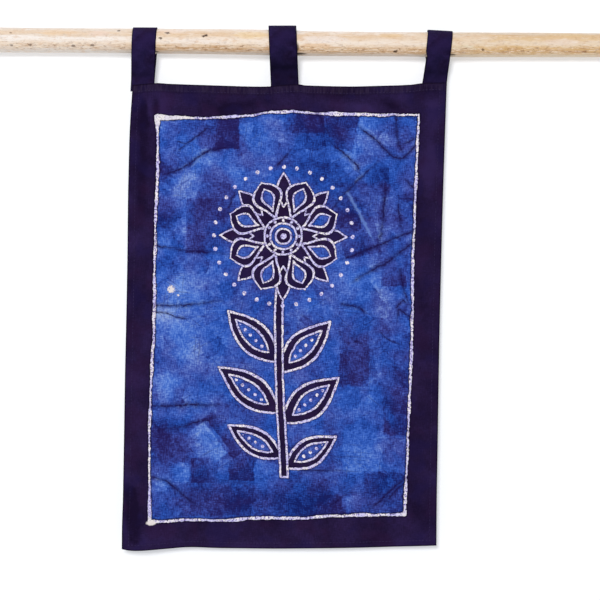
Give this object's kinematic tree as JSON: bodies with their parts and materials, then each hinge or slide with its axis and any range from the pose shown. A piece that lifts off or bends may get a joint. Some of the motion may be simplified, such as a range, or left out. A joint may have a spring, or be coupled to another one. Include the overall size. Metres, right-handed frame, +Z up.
{
  "type": "cotton wall hanging on a wooden rod",
  "caption": "Upright batik cotton panel with a dark hemmed border, hung by folded cloth tabs from a peeled wooden rod.",
  "frame": {"origin": "on the rod's axis, midway between the outer tabs", "axes": "+X along the rod to the viewer's right, -Y out of the panel's front, +Z up"},
  "size_m": [0.784, 0.0354, 0.6396],
  "materials": {
    "batik_cotton": "matte dyed cotton",
    "navy_cotton": "matte dyed cotton",
    "peeled_wood": "bare, smoothed"
  },
  "bodies": {
    "root": {"panel": "batik_cotton", "tab_left": "navy_cotton", "tab_centre": "navy_cotton", "tab_right": "navy_cotton", "rod": "peeled_wood"}
  },
  "joints": []
}
